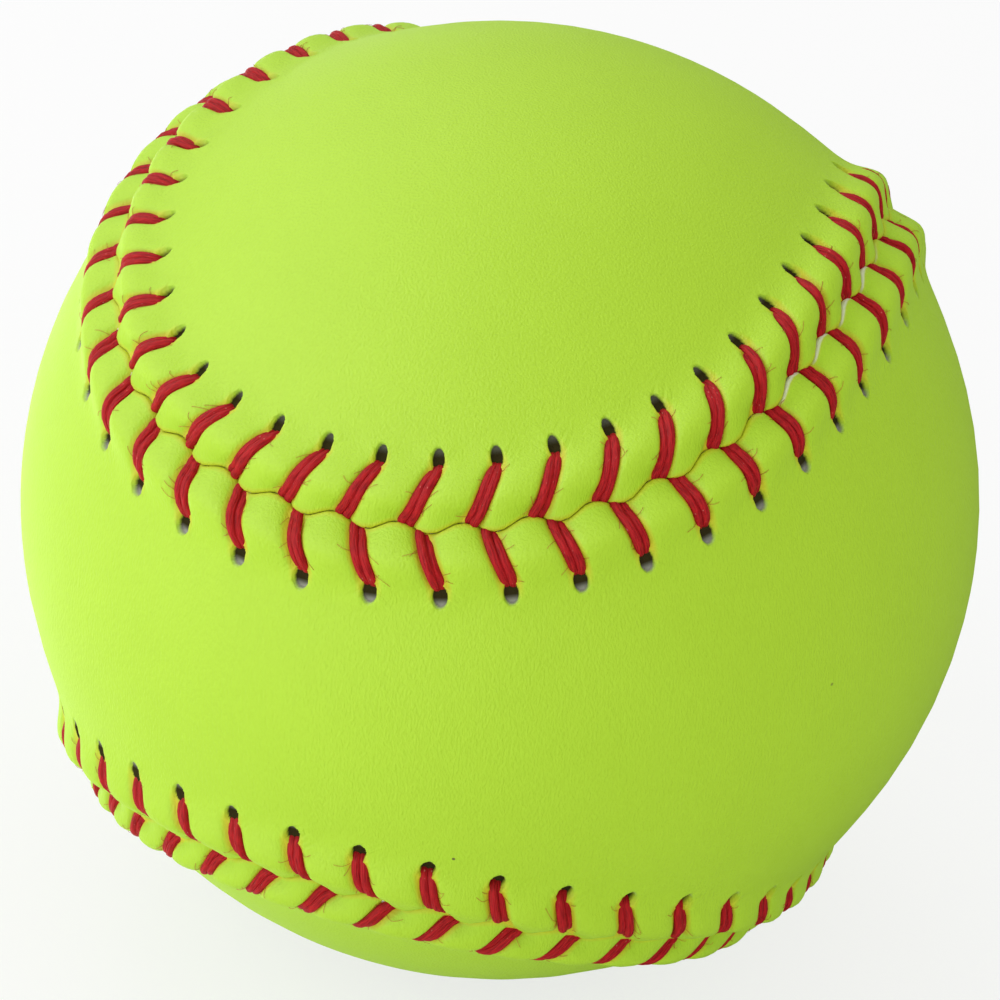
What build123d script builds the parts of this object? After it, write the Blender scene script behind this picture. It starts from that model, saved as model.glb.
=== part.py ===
from build123d import *
import os
from math import atan2, cos, floor, pi, radians, sin, tan

# Driving dimensions of a 12-inch ball, in millimetres and degrees.
ball_diameter = 97.0
skin_thickness = 0.8
backing_thickness = 1.3
cement_thickness = 0.3

# The seam: four round lobes joined by straight stretches at the four crossing points.
crossing_lean = 12.5
straight_half_angle = 15.4

# The raised welt along the seam, seen across it.
seam_rise = 0.6
crest_rise = 1.5
crest_from_seam = 3.2
hole_rise = 0.45
hole_from_seam = 6.5
welt_half_width = 8.5
welt_root_depth = 4.0
backing_at_crest = 0.8
backing_at_seam = 0.4

# The stitching: two threads, each doubled, through a row of holes in each panel.
stitch_pairs = 44
strand_diameter = 0.8
strand_room = 0.04
thread_clearance = 0.1
gap_taper = 0.02
stitch_lean = 0.32
row_slip = 0.02
hole_twist = 32.0
run_start = 1.2
run_stagger = 1.0
fold_from_hole = 3.6
tail_length = 2.2

# Values that follow from the sizes above.
ball_radius = ball_diameter / 2
backing_radius = ball_radius - skin_thickness
cement_radius = backing_radius - backing_thickness
core_radius = cement_radius - cement_thickness
strand_radius = strand_diameter / 2
strand_spacing = strand_diameter + 2 * strand_room
seam_gap = strand_diameter + 2 * thread_clearance
hole_diameter = strand_spacing + strand_diameter + 2 * thread_clearance
bend_radius = strand_diameter
stitches = 2 * stitch_pairs
centre = Vector(0, 0, 0)


def on_ball(longitude, latitude):
    """Direction from the ball's centre; the seam's own pole is +Y."""
    lon, lat = radians(longitude), radians(latitude)
    return Vector(cos(lat) * cos(lon), sin(lat), -cos(lat) * sin(lon))


# The crossing point that ends the first lobe, and the way the seam runs through it.
pole = Vector(0, 1, 0)
crossing = on_ball(45, 0)
crossing_east = on_ball(135, 0)
lean = radians(crossing_lean)
crossing_travel = pole * -cos(lean) - crossing_east * sin(lean)
straight_axis = crossing.cross(crossing_travel)

# The first lobe's circle, which touches the straight stretch and is centred on the plane Z = 0.
half_straight = radians(straight_half_angle)
lobe_end = crossing * cos(half_straight) - crossing_travel * sin(half_straight)
lobe_angle = atan2(-lobe_end.Z, -straight_axis.Z)
lobe_axis = lobe_end * cos(lobe_angle) - straight_axis * sin(lobe_angle)
lobe_top = (pole - lobe_axis * lobe_axis.dot(pole)).normalized()
lobe_side = Vector(0, 0, -1)
lobe_end_radial = lobe_end - lobe_axis * lobe_end.dot(lobe_axis)
half_sweep = atan2(lobe_end_radial.dot(lobe_side), lobe_end_radial.dot(lobe_top))

# Lengths along the seam are angles seen from the ball's centre.
lobe_length = 2 * half_sweep * sin(lobe_angle)
quarter_length = lobe_length + 2 * half_straight
stitch_pitch = 4 * quarter_length / stitches


def turn_quarter(vector, quarter):
    """Carry a vector of the first quarter to another: a quarter turn about Y with a flip of Y."""
    turned = vector.rotate(Axis(centre, pole), 90 * quarter)
    return Vector(turned.X, turned.Y if quarter % 2 == 0 else -turned.Y, turned.Z)


def seam_at(place):
    """Point of the seam on the unit ball and the direction of travel, at a length along it."""
    quarter = floor(place / quarter_length)
    along = place - quarter * quarter_length
    if along < half_straight:
        start = Vector(crossing.X, crossing.Y, -crossing.Z)
        travel = Vector(-crossing_travel.X, -crossing_travel.Y, crossing_travel.Z)
        point = start * cos(along) + travel * sin(along)
        heading = travel * cos(along) - start * sin(along)
    elif along > quarter_length - half_straight:
        left = along - quarter_length
        point = crossing * cos(left) + crossing_travel * sin(left)
        heading = crossing_travel * cos(left) - crossing * sin(left)
    else:
        sweep = (along - half_straight) / sin(lobe_angle) - half_sweep
        outward = lobe_top * cos(sweep) + lobe_side * sin(sweep)
        point = lobe_axis * cos(lobe_angle) + outward * sin(lobe_angle)
        heading = lobe_side * cos(sweep) - lobe_top * sin(sweep)
    return turn_quarter(point, quarter), turn_quarter(heading, quarter)


def beside_seam(place, across, height):
    """Point at a distance across the seam, positive on panel B, and a height over the ball."""
    point, heading = seam_at(place)
    aside = heading.cross(point).normalized()
    angle = across / ball_radius
    return (point * cos(angle) + aside * sin(angle)) * (ball_radius + height)


def seam_stretches():
    """Axis, start point and angle of each stretch; all are turned about an axis through the centre."""
    for quarter in range(4):
        start = quarter * quarter_length
        side = 1 if quarter % 2 == 0 else -1
        lobe = turn_quarter(lobe_axis, quarter)
        straight = turn_quarter(straight_axis, quarter) * side
        yield lobe * -side, start + half_straight, 360 * half_sweep / pi
        yield straight, start + quarter_length - half_straight, 360 * half_straight / pi


def around_seam(edge_points):
    """Solid stretches of a section along the whole seam; the points are (across, height) pairs."""
    solids = []
    for axis, start, angle in seam_stretches():
        corners = [[beside_seam(start, across, height) for across, height in run] for run in edge_points]
        edges = [Spline(*run) if len(run) > 2 else Line(*run) for run in corners]
        section = Face(Wire(edges))
        solids.append(revolve(section, Axis(centre, axis), angle))
    return solids


def welt_section(at_seam, at_crest, at_hole, at_foot):
    """Section of the welt from its heights at four distances from the seam, with a narrower root."""
    beyond = 1.5 * welt_half_width - 0.5 * hole_from_seam
    distances = [0, crest_from_seam, hole_from_seam, welt_half_width, beyond]
    heights = [at_seam, at_crest, at_hole, at_foot, 1.5 * at_foot - 0.5 * at_hole]
    right = list(zip(distances, heights))
    left = [(-across, height) for across, height in reversed(right)]
    root = (welt_half_width, at_foot - welt_root_depth)
    other_root = (-root[0], root[1])
    return [left, right, [right[-1], root], [root, other_root], [other_root, left[0]]]


def gap_section(half_width, depth):
    """Section of the cut between the panels, a little narrower at the bottom."""
    low = half_width - gap_taper
    corners = [(-low, -depth), (low, -depth), (half_width, depth), (-half_width, depth)]
    return [[corners[number - 1], corners[number]] for number in range(4)]


def raised_layer(radius, heights, inner_radius, inner_heights):
    """A closed layer of the cover, raised along the seam, over an inner ball raised in the same way."""
    ball = Sphere(radius).fuse(*around_seam(welt_section(*heights)))
    return ball.cut(Sphere(inner_radius), *around_seam(welt_section(*inner_heights)))


def holed(panel, row):
    """A panel with a round needle hole at each place of its row."""
    cutters = []
    for place in row:
        inside = beside_seam(place, hole_from_seam, -2 * (skin_thickness + backing_thickness))
        plane = Plane(inside, z_dir=inside.normalized())
        cutters.append(plane * Cylinder(hole_diameter / 2, 4 * (skin_thickness + backing_thickness)))
    return panel.cut(*cutters)


def hole_place(index, side):
    """Place along the seam of a hole; rows run a little wide round a lobe and close along a waist."""
    place = (index + 0.5) * stitch_pitch
    quarter = floor(place / quarter_length)
    along = place - (quarter + 0.5) * quarter_length
    return place + side * row_slip * (along if quarter % 2 == 0 else -along)


# The nested solids: outer face of the cover, skin on backing, backing on the cemented core.
cover_thickness = skin_thickness + backing_thickness
outer_heights = [seam_rise, crest_rise, hole_rise, 0]
tunnel_roof = [
    seam_rise - skin_thickness - backing_at_seam,
    crest_rise - skin_thickness - backing_at_crest,
    strand_diameter + 4.5 * thread_clearance - cover_thickness,
    -cover_thickness,
]
backing_heights = [height - skin_thickness for height in outer_heights]
skin_layer = raised_layer(ball_radius, outer_heights, backing_radius, backing_heights)
backing_layer = raised_layer(backing_radius, backing_heights, cement_radius, tunnel_roof)

# The two panels are alike: the second is the first turned half round about a crossing point.
waist = -pole
gap = around_seam(gap_section(seam_gap / 2, 2 * cover_thickness))


def panel_of(layer, depth):
    """The panel with its waist at -Y, cut from a whole layer of the cover, with its needle holes."""
    halves = layer.cut(*gap).solids()
    panel = next(half for half in halves if half.is_inside(waist * (ball_radius - depth)))
    return holed(panel, [hole_place(index, 1) for index in range(stitches)])


skin = panel_of(skin_layer, skin_thickness / 2)
backing = panel_of(backing_layer, skin_thickness + backing_thickness / 2)
half_turn = Axis(centre, crossing)

# Heights of a strand's middle over the ball, along its route.
under_cover = strand_radius + 2.5 * thread_clearance - cover_thickness
over_hole = hole_rise + strand_radius + 5 * thread_clearance
over_crest = crest_rise + strand_radius + 2 * thread_clearance


def strand_route(first_side, strand):
    """Points of one strand: up a hole, over the rim, down the seam and under the other panel."""
    shift = strand * strand_spacing / 2
    twist = radians(hole_twist)
    turn_across = run_start + (run_stagger if strand < 0 else 0)
    points = []
    for index in range(stitches):
        side = first_side if index % 2 == 0 else -first_side
        hole = hole_place(index, side) + shift * cos(twist) / ball_radius
        hole_across = side * (hole_from_seam - shift * sin(twist))
        foot = (index + 0.5 - stitch_lean) * stitch_pitch + (side * strand_spacing + shift) / ball_radius
        crest = foot + (hole - foot) * crest_from_seam / hole_from_seam
        points.append(beside_seam(hole, hole_across, under_cover))
        points.append(beside_seam(hole, hole_across, over_hole))
        points.append(beside_seam(crest, side * crest_from_seam, over_crest))
        points.append(beside_seam(foot, 0, over_crest))
        points.append(beside_seam(foot, 0, under_cover))
        points.append(beside_seam(foot, -side * turn_across, under_cover))
    tail = foot + tail_length / ball_radius
    points.append(beside_seam(tail, -side * (turn_across + tail_length), under_cover))
    return points


def fold_points(first_side):
    """The end of a thread where it is folded double, under its first hole."""
    hole = hole_place(0, first_side)
    twist = radians(hole_twist + 20)
    points = []
    for strand in (-1, 1):
        place = hole + (strand * bend_radius * cos(twist) - fold_from_hole * sin(twist)) / ball_radius
        across = hole_from_seam - fold_from_hole * cos(twist) - strand * bend_radius * sin(twist)
        points.append(beside_seam(place, first_side * across, under_cover))
    return points


def rounded_path(points):
    """A wire of straight runs joined by tangent arcs, one at each inner point."""
    edges = []
    last = points[0]
    for before, corner, after in zip(points, points[1:], points[2:]):
        arriving = (corner - before).normalized()
        leaving = (after - corner).normalized()
        half_angle = radians(arriving.get_angle(leaving)) / 2
        shorter = min((corner - before).length, (after - corner).length)
        reach = min(bend_radius * tan(half_angle), 0.45 * shorter)
        radius = reach / tan(half_angle)
        inward = (leaving - arriving).normalized()
        middle = corner + inward * (radius / cos(half_angle) - radius)
        edges.append(Line(last, corner - arriving * reach))
        edges.append(ThreePointArc(corner - arriving * reach, middle, corner + leaving * reach))
        last = corner + leaving * reach
    edges.append(Line(last, points[-1]))
    return Wire(edges)


def doubled_thread(first_side):
    """One thread, doubled: two strands laid side by side all round the seam, folded at one end."""
    back = strand_route(first_side, -1)[::-1]
    path = rounded_path(back + fold_points(first_side) + strand_route(first_side, 1))
    section = Plane(path @ 0, z_dir=path % 0) * Circle(strand_radius)
    thread = sweep(section, path)
    tube_volume = path.length * pi * strand_radius ** 2
    print("thread volume over section times length", round(thread.volume / tube_volume, 4))
    return thread


nodes = {
    "core": Sphere(core_radius),
    "cement_coat": Sphere(cement_radius) - Sphere(core_radius),
    "panel_a_backing": backing.rotate(half_turn, 180),
    "panel_b_backing": backing,
    "panel_a_skin": skin.rotate(half_turn, 180),
    "panel_b_skin": skin,
    "thread_a": doubled_thread(-1),
    "thread_b": doubled_thread(1),
}
os.makedirs("parts", exist_ok=True)
for name, solid in nodes.items():
    solid.label = name
    export_step(solid, f"parts/{name}.step")
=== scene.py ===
import math
import bpy
import numpy as np
from mathutils import Matrix, Vector


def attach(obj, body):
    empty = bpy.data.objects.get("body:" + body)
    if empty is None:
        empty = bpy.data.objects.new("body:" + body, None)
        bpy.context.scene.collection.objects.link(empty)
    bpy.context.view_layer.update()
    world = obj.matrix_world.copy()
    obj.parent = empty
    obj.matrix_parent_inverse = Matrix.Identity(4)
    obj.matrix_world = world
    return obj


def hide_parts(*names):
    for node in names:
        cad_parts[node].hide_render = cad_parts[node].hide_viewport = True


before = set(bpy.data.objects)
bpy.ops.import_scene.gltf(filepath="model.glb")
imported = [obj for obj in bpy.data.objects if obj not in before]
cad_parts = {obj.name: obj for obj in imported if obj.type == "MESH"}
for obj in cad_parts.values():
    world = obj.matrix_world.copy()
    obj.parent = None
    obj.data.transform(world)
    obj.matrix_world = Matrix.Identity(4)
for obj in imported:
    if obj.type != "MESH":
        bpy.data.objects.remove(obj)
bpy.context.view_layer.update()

# The core: a solid ball of polyurethane foam, cast in a two-part mould and left with fine pores.
# It gives the ball its hardness and is hidden under the glued and sewn cover.
core_tan = (0.62, 0.52, 0.36, 1)
core_pale_tan = (0.68, 0.58, 0.42, 1)
# Darker brown painted into the sunken pores as the shade inside them.
core_pore_shade_brown = (0.40, 0.31, 0.19, 1)
pores_per_metre = 900
pore_depth = 0.0003
core_clouds_per_metre = 60


def new_finish(name, roughness):
    """A node material for one finish, with its tree and its shader."""
    finish = bpy.data.materials.new(name)
    finish.use_nodes = True
    shader = finish.node_tree.nodes["Principled BSDF"]
    shader.inputs["Roughness"].default_value = roughness
    return finish, finish.node_tree, shader


def add_node(tree, kind, values, **settings):
    """A node with its settings and its input values."""
    node = tree.nodes.new(kind)
    for name, value in settings.items():
        setattr(node, name, value)
    for name, value in values.items():
        node.inputs[name].default_value = value
    return node


def object_place(tree, stretch=(1, 1, 1)):
    """Object coordinates, stretched."""
    place = add_node(tree, "ShaderNodeTexCoord", {})
    mapping = add_node(tree, "ShaderNodeMapping", {"Scale": stretch})
    tree.links.new(place.outputs["Object"], mapping.inputs["Vector"])
    return mapping.outputs["Vector"]


def noise_on(tree, place, per_metre, detail=3.0):
    """Smooth noise with so many waves to the metre, or to one unit of a place given in other units."""
    noise = add_node(tree, "ShaderNodeTexNoise", {"Scale": per_metre, "Detail": detail})
    tree.links.new(place, noise.inputs["Vector"])
    return noise.outputs[0]


def between(tree, value, low, high, out_low=0.0, out_high=1.0):
    """A value spread from one range to another and clamped."""
    spread = add_node(tree, "ShaderNodeMapRange", {"From Min": low, "From Max": high})
    spread.inputs["To Min"].default_value = out_low
    spread.inputs["To Max"].default_value = out_high
    tree.links.new(value, spread.inputs["Value"])
    return spread.outputs["Result"]


def blend_colours(tree, share, first, second):
    """Two colours, given as values or as sockets, mixed by a share."""
    mix = add_node(tree, "ShaderNodeMix", {}, data_type="RGBA")
    tree.links.new(share, mix.inputs[0])
    for socket, colour in ((mix.inputs[6], first), (mix.inputs[7], second)):
        if isinstance(colour, tuple):
            socket.default_value = colour
        else:
            tree.links.new(colour, socket)
    return mix.outputs[2]


def raise_grain(tree, shader, height, depth, strength=1.0, under=None):
    """A bump of that depth in metres on a shader, on top of an earlier one."""
    bump = add_node(tree, "ShaderNodeBump", {"Strength": strength, "Distance": depth})
    tree.links.new(height, bump.inputs["Height"])
    if under:
        tree.links.new(under, bump.inputs["Normal"])
    tree.links.new(bump.outputs["Normal"], shader.inputs["Normal"])
    return bump.outputs["Normal"]


def dress(node, finish):
    """A CAD node's finish."""
    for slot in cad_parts[node].material_slots:
        slot.material = finish


core_finish, tree, shader = new_finish("cast_foam", roughness=0.8)
place = object_place(tree)
pores = between(tree, noise_on(tree, place, pores_per_metre), 0.58, 0.7)
cloud = noise_on(tree, place, core_clouds_per_metre)
toned = blend_colours(tree, cloud, core_tan, core_pale_tan)
# The pores are painted darker brown as their shade.
tree.links.new(blend_colours(tree, pores, toned, core_pore_shade_brown), shader.inputs["Base Color"])
raise_grain(tree, shader, pores, -pore_depth)
dress("core", core_finish)

# The cement: a film of rubber glue brushed on the core, which holds the cover down.
# It dries in streaks, shiny where it lies thick.
cement_amber = (0.55, 0.44, 0.24, 1)
cement_thick_brown = (0.42, 0.30, 0.13, 1)
streaks_per_metre = 120
streak_stretch = (1, 1, 6)
streak_depth = 0.0002
thin_roughness = 0.65
thick_roughness = 0.3
cement_finish, tree, shader = new_finish("brushed_rubber_cement", thin_roughness)
streaks = noise_on(tree, object_place(tree, streak_stretch), streaks_per_metre)
tree.links.new(blend_colours(tree, streaks, cement_amber, cement_thick_brown), shader.inputs["Base Color"])
shine = between(tree, streaks, 0.35, 0.65, thin_roughness, thick_roughness)
tree.links.new(shine, shader.inputs["Roughness"])
raise_grain(tree, shader, streaks, streak_depth)
dress("cement_coat", cement_finish)

# The backing of each cover panel: white needled felt, stuck to the yellow face before it is cut.
# It shows where a panel's rim stands open and in the walls of the needle holes.
felt_white = (0.82, 0.82, 0.78, 1)
felt_grey = (0.60, 0.60, 0.56, 1)
felt_fibres_per_metre = 1500
felt_stretch = (1, 4, 1)
felt_depth = 0.0002
felt_finish, tree, shader = new_finish("needled_felt", roughness=0.95)
felt_fibres = noise_on(tree, object_place(tree, felt_stretch), felt_fibres_per_metre)
tree.links.new(blend_colours(tree, felt_fibres, felt_grey, felt_white), shader.inputs["Base Color"])
raise_grain(tree, shader, felt_fibres, felt_depth)
dress("panel_a_backing", felt_finish)
dress("panel_b_backing", felt_finish)

# The cover: two alike panels of yellow synthetic leather, each with two round lobes and a waist.
# They are drawn together edge to edge by the stitches, which pull the rim into a row of pillows,
# with a groove under each stitch and an open needle hole at its outer end. Sizes are in millimetres.
to_metres = 0.001
ball_radius = 48.5
crossing_lean = math.radians(12.5)
half_straight = math.radians(15.4)
stitch_count = 88
feet_apart = 1.7
leg_top = 5.6
hole_from_seam = 6.3
row_slip = 0.02
half_gap = 0.02
# The seam line swings by so much between the stitches, and up to so far from the seam.
seam_swing = 0.5
lower_extra_swing = 0.2
swing_reach = 2.5
# Leans are in stitches.
stitch_lean = 0.32
lower_extra_lean = 0.18
# Stretches of loose sewing: the stitch that they lie about, and how many stitches away from it the
# sewing begins to even out and is even again. Stitches are numbered along the seam.
lower_stretch = (31, 8, 18)
upper_left_stretch = (68.5, 2.5, 6.2)
upper_holes_of_b = (81.5, 5.5, 9)
far_holes_of_a = (2.5, 1.5, 4.5)
open_edge_of_b = (87.4, 1.6, 2.6)
# How far the sewing goes astray there: slips along the seam in stitches, strays across it in millimetres.
lower_slip = 0.34
far_slip = 0.28
upper_slip = 0.13
upper_slip_loss = 0.005
most_slipped_stitch = 79
upper_left_stray = 1.4
lower_stray = 2.2
lower_stray_turn = 32.6
lower_stray_reach = 4.5
stray_fade = (8, 18)
# The seam's first quarter: half a straight stretch, a round lobe, and half of the next straight stretch.
pole = np.array([0.0, 1.0, 0.0])
crossing = np.array([math.sqrt(0.5), 0.0, -math.sqrt(0.5)])
crossing_east = np.array([-math.sqrt(0.5), 0.0, -math.sqrt(0.5)])
crossing_travel = -pole * math.cos(crossing_lean) - crossing_east * math.sin(crossing_lean)
straight_axis = np.cross(crossing, crossing_travel)
lobe_end = crossing * math.cos(half_straight) - crossing_travel * math.sin(half_straight)
lobe_angle = math.atan2(-lobe_end[2], -straight_axis[2])
lobe_axis = lobe_end * math.cos(lobe_angle) - straight_axis * math.sin(lobe_angle)
lobe_top = pole - lobe_axis * lobe_axis.dot(pole)
lobe_top = lobe_top / np.linalg.norm(lobe_top)
lobe_side = np.array([0.0, 0.0, -1.0])
lobe_end_radial = lobe_end - lobe_axis * lobe_end.dot(lobe_axis)
half_sweep = math.atan2(lobe_end_radial.dot(lobe_side), lobe_end_radial.dot(lobe_top))
quarter_length = 2 * half_sweep * math.sin(lobe_angle) + 2 * half_straight
pitch = 4 * quarter_length * ball_radius / stitch_count


def turned(first, second, angle):
    """The first direction turned towards the second by an array of angles."""
    return first * np.cos(angle)[..., None] + second * np.sin(angle)[..., None]


def seam_at(place):
    """Points of the seam on a unit ball, and its headings there, at lengths along it."""
    angle = place / ball_radius
    quarter = np.floor(angle / quarter_length)
    along = angle - quarter * quarter_length
    start = crossing * (1, 1, -1)
    travel = crossing_travel * (-1, -1, 1)
    sweep = (along - half_straight) / math.sin(lobe_angle) - half_sweep
    point = lobe_axis * math.cos(lobe_angle) + turned(lobe_top, lobe_side, sweep) * math.sin(lobe_angle)
    heading = turned(lobe_side, -lobe_top, sweep)
    first = (along < half_straight)[..., None]
    last = (along > quarter_length - half_straight)[..., None]
    left = along - quarter_length
    point = np.where(first, turned(start, travel, along), point)
    heading = np.where(first, turned(travel, -start, along), heading)
    point = np.where(last, turned(crossing, crossing_travel, left), point)
    heading = np.where(last, turned(crossing_travel, -crossing, left), heading)
    return carry_to_quarter(point, quarter), carry_to_quarter(heading, quarter)


def carry_to_quarter(vector, quarter):
    """Vectors of the first quarter carried to others: quarter turns about Y, each with a flip of Y."""
    turn = quarter * math.pi / 2
    x = vector[..., 0] * np.cos(turn) + vector[..., 2] * np.sin(turn)
    y = vector[..., 1] * (1 - 2 * np.mod(quarter, 2))
    z = vector[..., 2] * np.cos(turn) - vector[..., 0] * np.sin(turn)
    return np.stack([x, y, z], axis=-1)


def beside_seam(place, across, height):
    """Points at distances across the seam, positive on panel B, and heights over the ball."""
    point, heading = seam_at(place)
    aside = np.cross(heading, point)
    return turned(point, aside, across / ball_radius) * (ball_radius + height)[..., None]


def smooth_step(value, low, high):
    """0 below low, 1 above high, with a smooth rise between."""
    share = np.clip((value - low) / (high - low), 0, 1)
    return share * share * (3 - 2 * share)


def hole_place(index, side):
    """Length along the seam of a needle hole in panel B (side 1) or A (side -1)."""
    place = (index + 0.5) * pitch
    quarter = np.floor((index + 0.5) * 4 / stitch_count)
    along = place - (quarter + 0.5) * quarter_length * ball_radius
    return place + side * row_slip * along * (1 - 2 * np.mod(quarter, 2))


def stitches_from(place, number):
    """How many stitches on from the stitch of that number places lie, the shorter way round the seam."""
    return np.mod(place / pitch - number + stitch_count / 2, stitch_count) - stitch_count / 2


def loosely_sewn(place, stretch):
    """1 in the middle of a stretch of loose sewing, fading to 0 where the sewing is even again."""
    number, even_from, even_again = stretch
    return 1 - smooth_step(np.abs(stitches_from(place, number)), even_from, even_again)


def strayed(place, across, from_seam):
    """Places along and across the seam, moved by the uneven hand sewing, which fades out on the panels."""
    fade = 1 - smooth_step(from_seam, *stray_fade)
    lower = loosely_sewn(place, lower_stretch) * fade
    upper_left = loosely_sewn(place, upper_left_stretch) * fade
    upper_holes = loosely_sewn(place, upper_holes_of_b) * fade * smooth_step(across, 0, leg_top)
    far_holes = loosely_sewn(place, far_holes_of_a) * fade * smooth_step(-across, 0, leg_top)
    upper = upper_slip - upper_slip_loss * stitches_from(place, most_slipped_stitch) ** 2
    slip = upper * upper_holes - lower_slip * lower - far_slip * far_holes
    bend = np.tanh(stitches_from(place, lower_stray_turn) / lower_stray_reach)
    aside = -lower_stray * bend * lower - upper_left_stray * upper_left
    return place + slip * pitch, across + aside


def lean_at(place):
    """How far stitches lean along the seam, in stitches; they lean more on the lower stretch."""
    return stitch_lean + lower_extra_lean * loosely_sewn(place, lower_stretch)


def foot_place(index, side):
    """Length along the seam of the end of a stitch that dives into the seam."""
    middle = (index + 0.5) * pitch
    return middle - lean_at(middle) * pitch + side * feet_apart / 2


def leg_place(index, side, from_seam):
    """Length along the seam of a stitch's leg, at distances from the seam."""
    share = np.clip(from_seam / leg_top, 0, 1)
    return foot_place(index, side) * (1 - share) + hole_place(index, side) * share


def seam_wander(place):
    """How far the line where the panels meet swings to panel B, between the feet of the stitches."""
    swing = seam_swing + lower_extra_swing * loosely_sewn(place, lower_stretch)
    return swing * np.sin(2 * math.pi * (place / pitch - 0.5 + lean_at(place)))


def swing_share(from_seam):
    """1 at the seam, fading to 0 where its swings have died out."""
    return 1 - smooth_step(from_seam, 0, swing_reach)


def swelling(from_seam):
    """Height of the cover over the ball along the middle of a pillow: a crest on a broad rise."""
    rise = 0.55
    rise_width = 8
    crest = 1.85
    crest_at = 3.1
    crest_width = np.where(from_seam < crest_at, 2.3, 2.5)
    broad = rise * np.exp(-(from_seam / rise_width) ** 2)
    return broad + crest * np.exp(-((from_seam - crest_at) / crest_width) ** 2)


def needle_pit(from_leg, from_seam):
    """1 in a needle hole and 0 on the cover round it; the hole is an oval slot along its stitch."""
    half_width = 0.68
    half_length = 1.15
    wall = (0.84, 1.04)
    oval = np.hypot(from_leg / half_width, (from_seam - hole_from_seam) / half_length)
    return 1 - smooth_step(oval, *wall)


def cover_height(from_leg, from_seam, across):
    """Height of the cover's face over the ball, never below the felt that it lies on."""
    pillow_fall = 0.62
    pillow_end = (4, 7.4)
    groove_depth = 0.5
    groove_side = (0.6, 1.3)
    groove_end = (4.6, 6.4)
    rim_radius = 0.25
    pit_depth = 1.3
    pit_ramp = 0.4
    pit_ramp_ends = (6.4, 7.3)
    least_skin = 0.06
    from_middle = 1 - from_leg / (pitch / 2)
    pillow = pillow_fall * from_middle ** 2 * (1 - smooth_step(from_seam, *pillow_end))
    groove = groove_depth * (1 - smooth_step(from_leg, *groove_side))
    groove = groove * (1 - smooth_step(from_seam, *groove_end))
    rounding = rim_radius - np.sqrt(rim_radius ** 2 - np.clip(rim_radius - from_seam, 0, rim_radius) ** 2)
    pit = pit_depth * needle_pit(from_leg, from_seam)
    pit = pit * (1 - pit_ramp * smooth_step(from_seam, *pit_ramp_ends))
    face = swelling(from_seam) - pillow - groove - rounding - pit
    return np.maximum(face, felt_height(np.abs(across)) + least_skin)


def felt_height(from_seam):
    """Height over the ball of the backing that the yellow face lies on, which leaves a gap at the seam."""
    skin = 0.8
    crest = 1.56
    crest_at = 2.5
    crest_width = np.where(from_seam < crest_at, 3.4, 3.85)
    gap_depth = 0.6
    gap_side = (0.3, 0.45)
    gap = gap_depth * (1 - smooth_step(from_seam, *gap_side))
    return crest * np.exp(-((from_seam - crest_at) / crest_width) ** 2) - skin - gap


def add_grid(name, places, values):
    """A grid primitive with its vertices set to an array of places in millimetres, and point values."""
    rows, columns = places.shape[:2]
    bpy.ops.object.select_all(action="DESELECT")
    bpy.ops.mesh.primitive_grid_add(x_subdivisions=columns - 1, y_subdivisions=rows - 1, size=2)
    piece = bpy.context.object
    piece.name = name
    mesh = piece.data
    flat = np.empty(len(mesh.vertices) * 3)
    mesh.vertices.foreach_get("co", flat)
    column = np.rint((flat[0::3] + 1) / 2 * (columns - 1)).astype(int)
    row = np.rint((flat[1::3] + 1) / 2 * (rows - 1)).astype(int)
    mesh.vertices.foreach_set("co", (places[row, column] * to_metres).ravel())
    for label, value in values.items():
        attribute = mesh.attributes.new(label, "FLOAT", "POINT")
        attribute.data.foreach_set("value", value[row, column].astype(np.float32))
    close_shell()
    return piece


def close_shell():
    """Joins the active grid's meeting edges and poles, turns its faces outward and shades it smooth."""
    joining_distance = 2e-6
    bpy.ops.object.mode_set(mode="EDIT")
    bpy.ops.mesh.select_all(action="SELECT")
    bpy.ops.mesh.remove_doubles(threshold=joining_distance)
    bpy.ops.mesh.normals_make_consistent(inside=False)
    bpy.ops.object.mode_set(mode="OBJECT")
    bpy.ops.object.shade_smooth()


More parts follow.
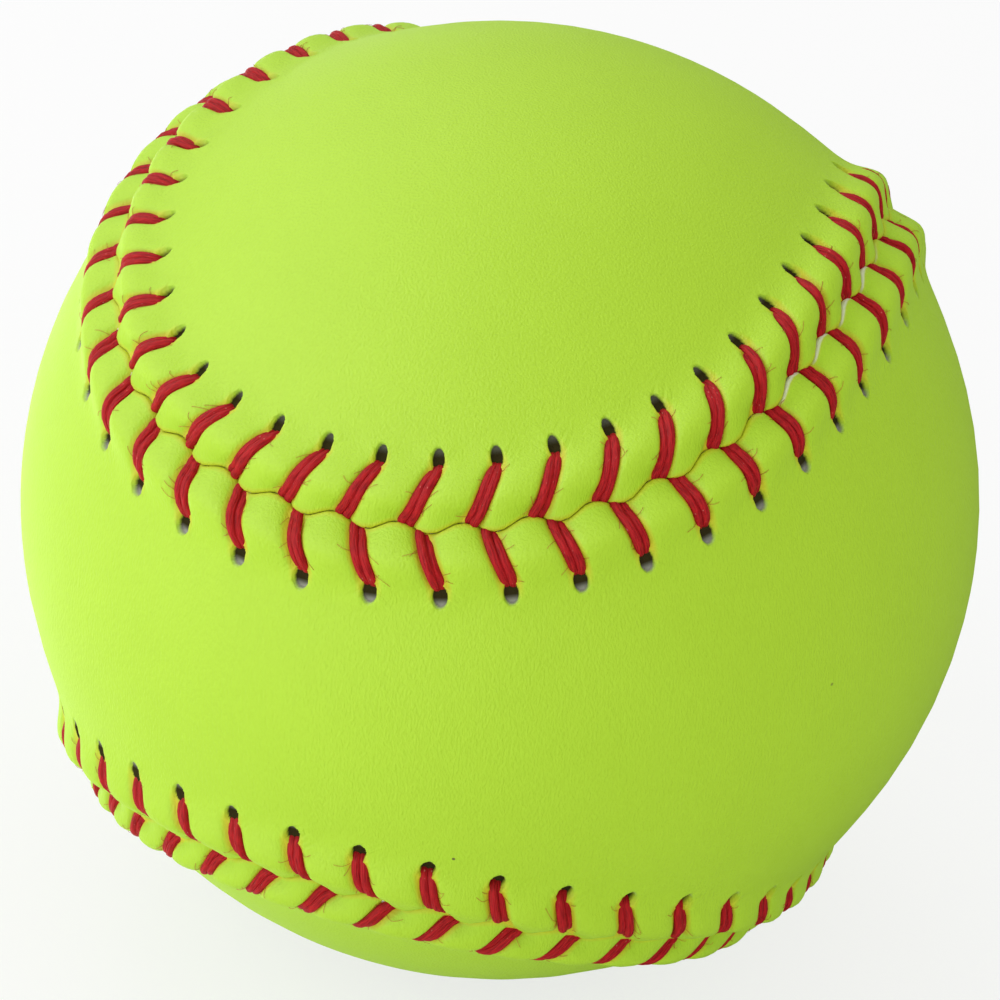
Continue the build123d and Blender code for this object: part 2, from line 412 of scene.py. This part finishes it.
def cover_panel(name, side, mirror_axis, felt_and_light_shown):
    """One panel: its face from the middle out to the rim, the cut edge, and the underside back again.

    felt_and_light_shown is how much pale felt shows in the far wall of its needle holes. It is set higher on
    panel B, whose far walls face the light, and lower on panel A, whose far walls lie in shade, so it is
    partly painted light and shade. On panel B the felt also shows along the cut edge of a few pillows.
    """
    far_wall_ends = (6.5, 7.4)
    edge_shown = 0.8
    edge_width = (0.1, 0.32)
    edge_from_leg = (0.8, 1.6)
    cut_felt_shown = 0.1
    least_rim = 0.15
    least_under = 0.05
    painted_reach = 12
    barely_off = 1e-6

    # Columns of the grid: closer beside a leg, and mirrored about the middle of each pillow.
    from_legs = np.array([0, 0.2, 0.38, 0.5, 0.6, 0.72, 0.9, 1.2, 1.6, 2.2]) / pitch
    shares = np.concatenate([from_legs, [0.5], 1 - from_legs[:0:-1]])
    index = np.repeat(np.arange(stitch_count), len(shares))
    share = np.tile(shares, stitch_count)
    index = np.append(index, stitch_count)
    share = np.append(share, 0.0)
    from_leg = np.minimum(share, 1 - share) * pitch

    def place_at(from_seam):
        """Length along the seam of every column at a distance from the seam."""
        before = leg_place(index, side, from_seam)
        after = leg_place(index + 1, side, from_seam)
        return before * (1 - share) + after * share

    # Distance of the panel's middle line from the seam, along every column.
    point, heading = seam_at(place_at(np.full(index.shape, leg_top)))
    inward = np.cross(heading, point) * side
    off_plane = point[:, mirror_axis]
    middle = ball_radius * np.arctan2(np.abs(off_plane), -inward[:, mirror_axis] * np.sign(off_plane))
    middle = np.where(np.abs(off_plane) < barely_off, lobe_angle * ball_radius, middle)

    # Rows of the grid: distances from the seam, then shares of the way on to the middle line.
    near = [0, 0.05, 0.14, 0.3, 0.55, 0.9, 1.3, 1.75, 2.25, 2.75, 3.25, 3.75, 4.25, 4.7, 5.05, 5.3]
    near += [5.48, 5.62, 5.78, 6, 6.25, 6.5, 6.75, 6.93, 7.06, 7.18, 7.3, 7.45, 7.7, 8.1, 8.8, 10, 12, 16]
    inner = (0.15, 0.32, 0.5, 0.68, 0.84, 0.95, 1.0)
    under_near = [0, 1.6, 3.2, 4.8, 5.6, 6.5, 7.3, 8.6]
    under_inner = (0.6, 1.0)

    def rows_at(distances, steps):
        """Distances from the seam of every column, row by row."""
        last = distances[-1]
        rows = [np.full(index.shape, distance) for distance in distances]
        return rows + [last + (middle - last) * step for step in steps]

    face_rows = rows_at(near, inner)
    under_rows = rows_at(under_near, under_inner)
    places = []
    values = {"pit": [], "felt_edge": [], "from_leg": [], "from_seam": []}

    def ways(from_seam):
        """Places along and across the seam of every column at distances from the seam."""
        place = place_at(from_seam)
        near_seam = swing_share(from_seam)
        across = side * (from_seam + half_gap * near_seam) + seam_wander(place) * near_seam
        return strayed(place, across, from_seam)

    def add_row(from_seam, height, pit, felt_edge):
        """One row of the panel, at distances from the seam and heights."""
        place, across = ways(from_seam)
        places.append(beside_seam(place, across, height))
        values["pit"].append(pit)
        values["felt_edge"].append(felt_edge)
        values["from_leg"].append(from_leg)
        values["from_seam"].append(np.minimum(from_seam, painted_reach))

    for from_seam in face_rows[::-1]:
        pit = needle_pit(from_leg, from_seam)
        far_wall = felt_and_light_shown * pit * smooth_step(from_seam, *far_wall_ends)
        bare_edge = loosely_sewn(place_at(from_seam), open_edge_of_b) * smooth_step(from_leg, *edge_from_leg)
        bare_edge = edge_shown * bare_edge * (1 - smooth_step(from_seam, *edge_width)) * (side > 0)
        height = cover_height(from_leg, from_seam, ways(from_seam)[1])
        add_row(from_seam, height, pit, np.maximum(far_wall, bare_edge))
    none = np.zeros(index.shape)
    rim_top = cover_height(from_leg, face_rows[0], ways(face_rows[0])[1])
    rim_bottom = np.minimum(felt_height(under_rows[0]), rim_top - least_rim)
    add_row(face_rows[0], (rim_top + rim_bottom) / 2, none, none + cut_felt_shown)
    for from_seam in under_rows:
        across = ways(from_seam)[1]
        lowest_face = cover_height(from_leg, from_seam, across) - least_under
        add_row(from_seam, np.minimum(felt_height(np.abs(across)), lowest_face), none, none + 1)
    return add_grid(name, np.array(places), {label: np.array(rows) for label, rows in values.items()})


# Pale felt in the far walls of the holes: brighter on panel B and dimmer on panel A, as painted light and
# shade.
panel_b = cover_panel("cover_panel_b", side=1, mirror_axis=2, felt_and_light_shown=0.6)
panel_a = cover_panel("cover_panel_a", side=-1, mirror_axis=0, felt_and_light_shown=0.2)

cover_yellow = (0.435, 0.70, 0.020, 1)
cover_deep_yellow = (0.415, 0.67, 0.016, 1)
# The amber is partly dye and partly painted bounce light from the red thread and painted shade in the
# grooves.
amber_dye_and_bounce = (0.68, 0.54, 0.006, 1)
# Dark brown painted into the needle holes as the shade inside them.
hole_shade_brown = (0.040, 0.032, 0.012, 1)
speck_olive = (0.12, 0.13, 0.02, 1)
cover_specular = 0.42
cover_clouds_per_metre = 90
grain_per_metre = 3000
grain_stretch = (1.4, 1.4, 0.6)
grain_depth = 0.0001
ripples_per_metre = 500
ripple_depth = 0.00008
wrinkle_depth = 0.0005
specks_per_metre = 240
# Shares of amber beside the threads (dye and painted bounce light) and in the seam line (dye and painted
# shade).
dye_and_bounce_share = 0.75
seam_dye_and_shade = 0.7
pit_edge = (0.3, 0.8)
cover_finish, tree, shader = new_finish("yellow_grained_cover", roughness=0.72)


def painted(tree, label):
    """A value that was set point by point on the mesh."""
    return add_node(tree, "ShaderNodeAttribute", {}, attribute_name=label).outputs["Fac"]


def worked(tree, operation, first, second):
    """Two values, given as numbers or as sockets, put together."""
    node = add_node(tree, "ShaderNodeMath", {}, operation=operation)
    for socket, value in zip(node.inputs, (first, second)):
        if isinstance(value, (int, float)):
            socket.default_value = value
        else:
            tree.links.new(value, socket)
    return node.outputs[0]


place = object_place(tree)
grain = noise_on(tree, object_place(tree, grain_stretch), grain_per_metre, detail=1.5)
cloud = noise_on(tree, place, cover_clouds_per_metre)
tone = worked(tree, "ADD", worked(tree, "MULTIPLY", cloud, 0.4), worked(tree, "MULTIPLY", grain, 0.6))
colour = blend_colours(tree, between(tree, tone, 0.35, 0.65), cover_deep_yellow, cover_yellow)
# Amber beside the threads and on the seam line: partly dye from the thread, partly painted red bounce light
# and shade.
beside_thread = worked(tree, "MULTIPLY", between(tree, painted(tree, "from_leg"), 1.2, 0.75),
                       between(tree, painted(tree, "from_seam"), 7, 5))
along_seam = between(tree, painted(tree, "from_seam"), 0.5, 0, 0, seam_dye_and_shade)
dye_and_bounce_tint = worked(tree, "MULTIPLY", worked(tree, "MAXIMUM", beside_thread, along_seam), dye_and_bounce_share)
colour = blend_colours(tree, dye_and_bounce_tint, colour, amber_dye_and_bounce)
# A few specks of dirt.
dots = add_node(tree, "ShaderNodeTexVoronoi", {"Scale": specks_per_metre})
tree.links.new(place, dots.inputs["Vector"])
chosen = add_node(tree, "ShaderNodeSeparateColor", {})
tree.links.new(dots.outputs["Color"], chosen.inputs["Color"])
specks = worked(tree, "MULTIPLY", between(tree, dots.outputs["Distance"], 0.05, 0.03),
                between(tree, chosen.outputs[0], 0.95, 0.96))
colour = blend_colours(tree, specks, colour, speck_olive)
# The holes are painted dark as their shade, with no gloss, and the felt in their far walls is pale, more so
# on panel B as painted light.
colour = blend_colours(tree, between(tree, painted(tree, "pit"), *pit_edge), colour, hole_shade_brown)
colour = blend_colours(tree, painted(tree, "felt_edge"), colour, felt_white)
tree.links.new(colour, shader.inputs["Base Color"])
gloss = between(tree, painted(tree, "pit"), *pit_edge, cover_specular, 0)
tree.links.new(gloss, shader.inputs["Specular IOR Level"])
fine = raise_grain(tree, shader, grain, grain_depth, strength=0.9)
ripple = noise_on(tree, place, ripples_per_metre, detail=2.0)
fine = raise_grain(tree, shader, ripple, ripple_depth, strength=0.5, under=fine)
# Wrinkles that fan out from the sides of each needle hole, away from the seam.
wrinkle_place = add_node(tree, "ShaderNodeCombineXYZ", {})
steep = worked(tree, "SUBTRACT", painted(tree, "from_leg"), painted(tree, "from_seam"))
tree.links.new(worked(tree, "MULTIPLY", steep, 1.6), wrinkle_place.inputs[0])
tree.links.new(worked(tree, "MULTIPLY", cloud, 6.0), wrinkle_place.inputs[1])
wrinkles = noise_on(tree, wrinkle_place.outputs[0], 1.0, detail=1.0)
near_hole = worked(tree, "MULTIPLY", between(tree, painted(tree, "from_leg"), 2.6, 0.9),
                   between(tree, painted(tree, "from_seam"), 4.4, 5.6))
near_hole = worked(tree, "MULTIPLY", near_hole, between(tree, painted(tree, "from_seam"), 8.6, 7.0))
wrinkled = worked(tree, "MULTIPLY", wrinkles, near_hole)
raise_grain(tree, shader, wrinkled, wrinkle_depth, strength=0.35, under=fine)
for piece, node, slot in ((panel_a, "panel_a_skin", "cover_a"), (panel_b, "panel_b_skin", "cover_b")):
    piece.data.materials.append(cover_finish)
    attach(piece, "root")
    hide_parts(node)

# The stitching: two waxed red threads, each doubled, laced by two needles through the holes by turns.
# A stitch comes up a hole, crosses its panel's rim in its groove, dives into the seam and runs on
# under the other panel to the next hole there.
strand_radius = 0.46
strands_apart = 0.74
strand_sink = 0.78
most_twist = 0.9
hole_narrowing = 0.3
hole_narrowing_ends = (4.5, 6.0)
tube_sides = 10
# Distance from the seam and height of a strand's middle, from the hole to the seam.
leg_start = [(5.5, -1.6), (5.5, -1.1), (5.48, -0.6), (5.4, -0.15), (5.2, 0.22), (4.88, 0.55)]
leg_over = [4.35, 3.9, 3.4, 2.9, 2.4, 1.9, 1.4, 0.95]
leg_end = [(0.55, 0.42), (0.22, 0.2), (0.02, -0.25), (-0.1, -0.75), (-0.2, -1.2)]
leg_points = leg_start + [(a, float(swelling(np.array(a))) - strand_sink) for a in leg_over] + leg_end
# Share of the way to the next hole and height, under the other panel.
hidden_points = [(0.1, -1.4), (0.35, -1.45), (0.65, -1.45), (0.9, -1.45)]
hidden_start = 0.4
hidden_end = 5.5
lay_of_stitches = np.random.default_rng(7)
twists = lay_of_stitches.uniform(-most_twist, most_twist, (2, stitch_count, 2))


def strand(first_side, lay):
    """Middle line of one of a thread's two strands, all round the seam."""
    shift = lay * strands_apart / 2
    on_seam = np.array(0.0)
    lengths = []
    crossings = []
    heights = []
    for index in range(stitch_count):
        side = first_side if index % 2 == 0 else -first_side
        twist_start, twist_end = twists[(first_side + 1) // 2, index]
        for number, (from_seam, height) in enumerate(leg_points):
            share = number / (len(leg_points) - 1)
            twist = twist_start + (twist_end - twist_start) * share
            distance = np.array(from_seam)
            narrowing = 1 - hole_narrowing * float(smooth_step(distance, *hole_narrowing_ends))
            place = leg_place(index, side, distance) + shift * narrowing * math.cos(twist)
            wander = seam_wander(place) * float(swing_share(distance))
            place, across = strayed(place, side * from_seam + wander, on_seam)
            lengths.append(place)
            crossings.append(across)
            heights.append(height + shift * math.sin(twist))
        next_hole = hole_place(index + 1, -side) + shift
        dive = leg_place(index, side, on_seam) + shift
        for share, height in hidden_points:
            across = -side * (hidden_start + (hidden_end - hidden_start) * share)
            place, across = strayed(dive + (next_hole - dive) * share, across, on_seam)
            lengths.append(place)
            crossings.append(across)
            heights.append(height)
    return np.array(lengths), np.array(crossings), np.array(heights)


def strand_tube(name, first_side, lay):
    """A strand as a closed tube; its UV map runs along and round it."""
    lengths, crossings, heights = strand(first_side, lay)
    middle = beside_seam(lengths, crossings, heights)
    tangent = np.gradient(middle, axis=0)
    tangent = tangent / np.linalg.norm(tangent, axis=1)[:, None]
    heading = seam_at(lengths)[1]
    level = heading - tangent * np.sum(heading * tangent, axis=1)[:, None]
    level = level / np.linalg.norm(level, axis=1)[:, None]
    upright = np.cross(tangent, level)
    radius = np.full(len(middle), strand_radius)
    # The first and last rings come again with no radius, as the tube's closed ends.
    middle = np.concatenate([middle[:1], middle, middle[-1:]])
    level = np.concatenate([level[:1], level, level[-1:]])
    upright = np.concatenate([upright[:1], upright, upright[-1:]])
    radius = np.concatenate([[0], radius, [0]])
    rows = []
    for step in range(tube_sides + 1):
        angle = 2 * math.pi * step / tube_sides
        rows.append(middle + (level * math.cos(angle) + upright * math.sin(angle)) * radius[:, None])
    return add_grid(name, np.array(rows), {})


thread_red = (0.50, 0.010, 0.014, 1)
# Darker red painted into the grooves between the plies as their shade.
thread_ply_shade_red = (0.27, 0.003, 0.006, 1)
thread_pale_fleck = (0.75, 0.30, 0.24, 1)
thread_specular = 0.15
ply_scale = (1100, 16, 1)
ply_turn = (0, 0, 0.006)
ply_depth = 0.0002
fleck_scale = (2400, 10, 1)
most_fleck = 0.45
thread_finish, tree, shader = new_finish("waxed_red_thread", roughness=0.7)
shader.inputs["Specular IOR Level"].default_value = thread_specular
around = add_node(tree, "ShaderNodeUVMap", {}, uv_map="UVMap")
ply_map = add_node(tree, "ShaderNodeMapping", {"Scale": ply_scale, "Rotation": ply_turn})
tree.links.new(around.outputs["UV"], ply_map.inputs["Vector"])
plies = noise_on(tree, ply_map.outputs["Vector"], 1.0, detail=2.0)
# The plies are darker red in the grooves between them, as painted shade.
colour = blend_colours(tree, between(tree, plies, 0.3, 0.6), thread_ply_shade_red, thread_red)
fleck_map = add_node(tree, "ShaderNodeMapping", {"Scale": fleck_scale})
tree.links.new(around.outputs["UV"], fleck_map.inputs["Vector"])
fleck_noise = noise_on(tree, fleck_map.outputs["Vector"], 1.0, detail=1.0)
flecks = between(tree, fleck_noise, 0.72, 0.8, 0, most_fleck)
tree.links.new(blend_colours(tree, flecks, colour, thread_pale_fleck), shader.inputs["Base Color"])
raise_grain(tree, shader, plies, ply_depth)

fibre_orange = (0.50, 0.13, 0.008, 1)
fibre_red = (0.42, 0.03, 0.006, 1)
mottles_per_metre = 700
fuzz_finish, tree, shader = new_finish("loose_red_fibre", roughness=0.8)
mottle = noise_on(tree, object_place(tree), mottles_per_metre)
mottled = blend_colours(tree, between(tree, mottle, 0.4, 0.6), fibre_orange, fibre_red)
tree.links.new(mottled, shader.inputs["Base Color"])


def loose_fibres(name, first_side):
    """Short fibres that have worked out of a thread and lie on the cover beside its stitches."""
    fibres_to_a_stitch = 4
    fibre_radius = 0.022
    # A fibre's start from the seam, its lean, its bow and its reach.
    least = (0.8, -1, -0.4, 0.5)
    most = (5.2, 1, 0.4, 1.5)
    start_from_leg = 0.75
    clear = 0.02
    arch = 0.1
    curve = bpy.data.curves.new(name, "CURVE")
    curve.dimensions = "3D"
    curve.bevel_depth = fibre_radius * to_metres
    curve.bevel_resolution = 0
    curve.use_fill_caps = True
    steps = np.linspace(0, 1, 6)
    for index in np.repeat(np.arange(stitch_count), fibres_to_a_stitch):
        side = first_side if index % 2 == 0 else -first_side
        start, lean, bow, reach = lay_of_stitches.uniform(least, most)
        towards = 1 if lay_of_stitches.random() < 0.5 else -1
        from_seam = np.clip(start + reach * (lean * steps + bow * steps ** 2), 0.5, 7)
        from_leg = start_from_leg + reach * (1 - 0.5 * abs(lean)) * steps
        place = leg_place(index, side, from_seam) + towards * from_leg
        place, across = strayed(place, side * from_seam, np.zeros(len(steps)))
        height = cover_height(from_leg, from_seam, across) + clear + arch * np.sin(math.pi * steps)
        points = np.ones((len(steps), 4))
        points[:, :3] = beside_seam(place, across, height) * to_metres
        spline = curve.splines.new("POLY")
        spline.points.add(len(points) - 1)
        spline.points.foreach_set("co", points.ravel())
    piece = bpy.data.objects.new(name, curve)
    bpy.context.collection.objects.link(piece)
    bpy.ops.object.select_all(action="DESELECT")
    piece.select_set(True)
    bpy.context.view_layer.objects.active = piece
    bpy.ops.object.convert(target="MESH")
    return bpy.context.object


for name, first_side in (("stitching_a", -1), ("stitching_b", 1)):
    strands = [strand_tube(name + ending, first_side, lay) for ending, lay in (("", -1), ("_second", 1))]
    for piece in strands:
        piece.data.materials.append(thread_finish)
    fuzz = loose_fibres(name + "_fuzz", first_side)
    fuzz.data.materials.append(fuzz_finish)
    bpy.ops.object.select_all(action="DESELECT")
    for piece in strands + [fuzz]:
        piece.select_set(True)
    bpy.context.view_layer.objects.active = strands[0]
    bpy.ops.object.join()
    thread = bpy.context.object
    node = name.replace("stitching", "thread")
    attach(thread, "root")
    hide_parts(node)

# The stage: a white sheet under the ball in a white room, lit by soft boxes above and on the left.
# In the gloss of the cover the sheet is dark on the right, and bright on the left like a card there.
floor_white = (0.86, 0.86, 0.86, 1)
floor_size = 6
floor_glow_share = 0.75
left_of_view = (-0.86, -0.50, 0)
card_edge = (-0.02, 0.12)
card_glow = 4.8
bpy.ops.object.select_all(action="DESELECT")
bpy.ops.mesh.primitive_plane_add(size=floor_size, location=(0, 0, -ball_radius * to_metres))
floor = bpy.context.object
floor.name = "floor"
floor_finish, tree, shader = new_finish("white_sheet", roughness=0.9)
floor_finish.cycles.emission_sampling = "NONE"
shader.inputs["Base Color"].default_value = floor_white
shader.inputs["Specular IOR Level"].default_value = 0.0
rays = add_node(tree, "ShaderNodeLightPath", {})
seen = worked(tree, "MAXIMUM", rays.outputs["Is Camera Ray"], rays.outputs["Is Transmission Ray"])
leftward = add_node(tree, "ShaderNodeVectorMath", {}, operation="DOT_PRODUCT")
leftward.inputs[1].default_value = left_of_view
tree.links.new(object_place(tree), leftward.inputs[0])
card = between(tree, leftward.outputs["Value"], *card_edge, 0, card_glow)
card = worked(tree, "MULTIPLY", rays.outputs["Is Glossy Ray"], card)
glow = add_node(tree, "ShaderNodeEmission", {"Color": (1, 1, 1, 1)})
tree.links.new(worked(tree, "MAXIMUM", seen, card), glow.inputs["Strength"])
white = add_node(tree, "ShaderNodeMixShader", {})
seen_share = worked(tree, "MULTIPLY", seen, floor_glow_share)
share = worked(tree, "MAXIMUM", seen_share, rays.outputs["Is Glossy Ray"])
tree.links.new(share, white.inputs[0])
tree.links.new(shader.outputs[0], white.inputs[1])
tree.links.new(glow.outputs[0], white.inputs[2])
tree.links.new(white.outputs[0], tree.nodes["Material Output"].inputs["Surface"])
floor.data.materials.append(floor_finish)

# The room lights the ball a little less than it shows to the camera, and is not seen in the gloss.
room_light = 0.80
room_shown = 1.0
world = bpy.data.worlds.new("white_room")
bpy.context.scene.world = world
world.use_nodes = True
world.cycles_visibility.glossy = False
world.cycles.sampling_method = "NONE"
room = world.node_tree.nodes["Background"]
room.inputs["Color"].default_value = (1, 1, 1, 1)
rays = add_node(world.node_tree, "ShaderNodeLightPath", {})
strength = between(world.node_tree, rays.outputs["Is Camera Ray"], 0, 1, room_light, room_shown)
world.node_tree.links.new(strength, room.inputs["Strength"])

# The camera stands where the photograph was taken from, with a long lens.
camera_right = Vector((0.86015, 0.50091, 0.0961))
camera_up = Vector((-0.32164, 0.38649, 0.86439))
camera_back = Vector((0.39584, -0.77441, 0.49355))
camera_distance = 0.5097
camera_data = bpy.data.cameras.new("camera")
camera_data.lens = 180.6
camera_data.sensor_width = 36
camera = bpy.data.objects.new("camera", camera_data)
bpy.context.collection.objects.link(camera)
turn = Matrix((camera_right, camera_up, camera_back)).transposed()
camera.matrix_world = Matrix.Translation(camera_back * camera_distance) @ turn.to_4x4()
bpy.context.scene.camera = camera


def soft_box(name, towards, away, size, watts, gloss_only=False):
    """A square lamp that faces the ball from a direction, or one that is only seen in its gloss."""
    lamp_data = bpy.data.lights.new(name, "AREA")
    lamp_data.size = size
    lamp_data.energy = watts
    lamp = bpy.data.objects.new(name, lamp_data)
    bpy.context.collection.objects.link(lamp)
    lamp.visible_diffuse = not gloss_only
    lamp.location = towards.normalized() * away
    lamp.rotation_euler = towards.to_track_quat("Z", "Y").to_euler()


upper_left = camera_right * -0.75 + camera_up * 0.5 + camera_back * 0.45
left_front = camera_right * -0.7 - camera_up * 0.1 + camera_back * 0.7
overhead = camera_right * -0.35 + camera_up * 0.95 - camera_back * 0.1
beside_camera = camera_right * -0.45 - camera_up * 0.25 + camera_back
soft_box("key", upper_left, away=0.8, size=0.4, watts=1.32)
soft_box("key_sheen", upper_left, away=0.8, size=0.4, watts=5.5, gloss_only=True)
soft_box("left_sheen", left_front, away=0.8, size=0.35, watts=4.0, gloss_only=True)
soft_box("top", overhead, away=0.8, size=0.5, watts=0.9)
soft_box("top_sheen", overhead, away=0.8, size=0.5, watts=2.5, gloss_only=True)
soft_box("fill", beside_camera, away=0.9, size=0.5, watts=1.15)

view = bpy.context.scene.view_settings
view.view_transform = "Standard"
